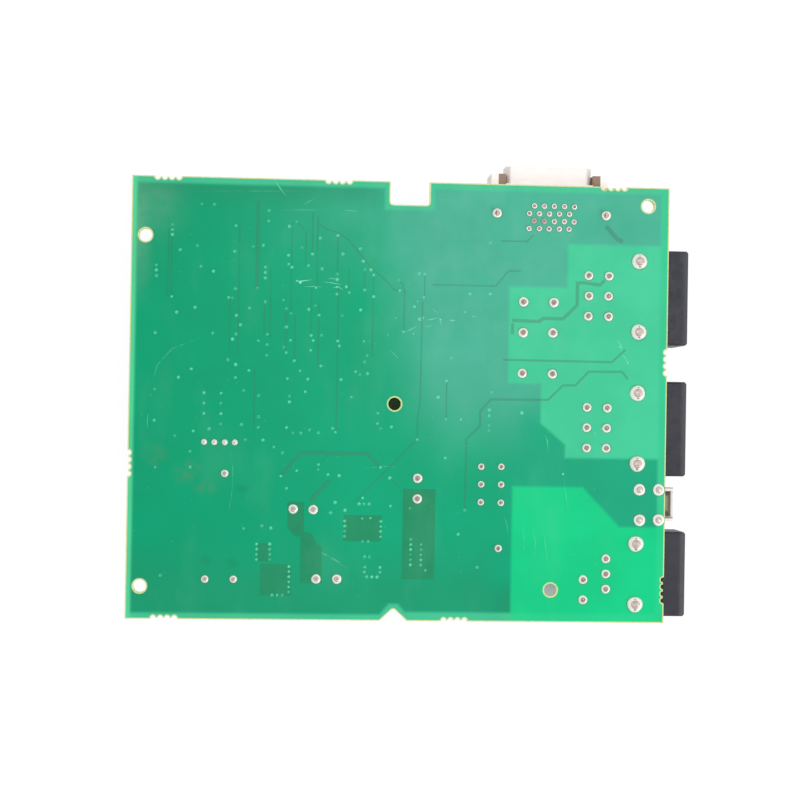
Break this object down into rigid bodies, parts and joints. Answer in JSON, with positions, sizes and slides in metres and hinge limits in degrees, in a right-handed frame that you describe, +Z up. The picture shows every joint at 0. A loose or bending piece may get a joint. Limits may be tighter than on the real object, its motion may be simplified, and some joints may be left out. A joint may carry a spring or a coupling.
{
  "type": "circuit board",
  "caption": "Motion control circuit board lying solder side up, with edge power headers, a shielded signal connector and an earth terminal.",
  "frame": {"origin": "under the middle of the whole part, on the surface that its tallest components stand on", "axes": "+X along the long side towards the power headers, +Y towards the signal connector, +Z up out of the solder side"},
  "size_m": [0.1408, 0.115, 0.0179],
  "materials": {
    "laminate": "green solder resist over glass-epoxy laminate, satin",
    "solder": "bright reflowed and waved solder",
    "tinned_metal": "tin plated",
    "plated_steel": "bright nickel plated",
    "connector_plastic": "glass-filled moulding",
    "header_plastic": "glass-filled moulding, dark blue-grey",
    "capacitor_sleeve": "shrunk plain sleeve",
    "film_case": "resin-filled box",
    "varistor_coat": "dipped epoxy coat",
    "bobbin_plastic": "moulded",
    "ferrite": "ground ferrite",
    "enamelled_wire": "enamelled copper",
    "package_epoxy": "moulded epoxy",
    "chip_ceramic": "fired ceramic",
    "chip_black": "coated ceramic"
  },
  "bodies": {
    "root": {"chip_capacitors": "chip_ceramic", "chip_resistors": "chip_black", "choke_base": "bobbin_plastic", "choke_core": "ferrite", "choke_pins": "tinned_metal", "choke_windings": "enamelled_wire", "circuit_board": "laminate", "controller_leads": "tinned_metal", "crystal": "plated_steel", "diode_terminals": "tinned_metal", "earth_bracket": "plated_steel", "earth_screw": "plated_steel", "earth_washer": "plated_steel", "electrolytic_a": "capacitor_sleeve", "electrolytic_b": "capacitor_sleeve", "electrolytic_c": "capacitor_sleeve", "film_capacitor": "film_case", "gate_array": "package_epoxy", "gate_array_leads": "tinned_metal", "inductor": "ferrite", "logic_circuits": "package_epoxy", "logic_leads": "tinned_metal", "memory": "package_epoxy", "memory_leads": "tinned_metal", "optocoupler_leads": "tinned_metal", "optocouplers": "package_epoxy", "power_diodes": "package_epoxy", "power_header_a_contacts": "tinned_metal", "power_header_a_housing": "header_plastic", "power_header_a_locks": "tinned_metal", "power_header_b_contacts": "tinned_metal", "power_header_b_housing": "header_plastic", "power_header_b_locks": "tinned_metal", "power_header_c_contacts": "tinned_metal", "power_header_c_housing": "header_plastic", "power_header_c_locks": "tinned_metal", "processor": "package_epoxy", "processor_leads": "tinned_metal", "regulator_case": "package_epoxy", "regulator_metal": "tinned_metal", "signal_contacts": "tinned_metal", "signal_insulator": "connector_plastic", "signal_lock_left": "plated_steel", "signal_lock_right": "plated_steel", "signal_shell": "plated_steel", "solder_joints": "solder", "stack_contacts": "tinned_metal", "stack_socket": "header_plastic", "supply_controller": "package_epoxy", "switch_case": "package_epoxy", "switch_metal": "tinned_metal", "test_posts": "tinned_metal", "transformer_bobbin": "bobbin_plastic", "transformer_core": "ferrite", "transformer_pins": "tinned_metal", "transformer_winding": "enamelled_wire", "varistor": "varistor_coat", "wire_leads": "tinned_metal"}
  },
  "joints": []
}
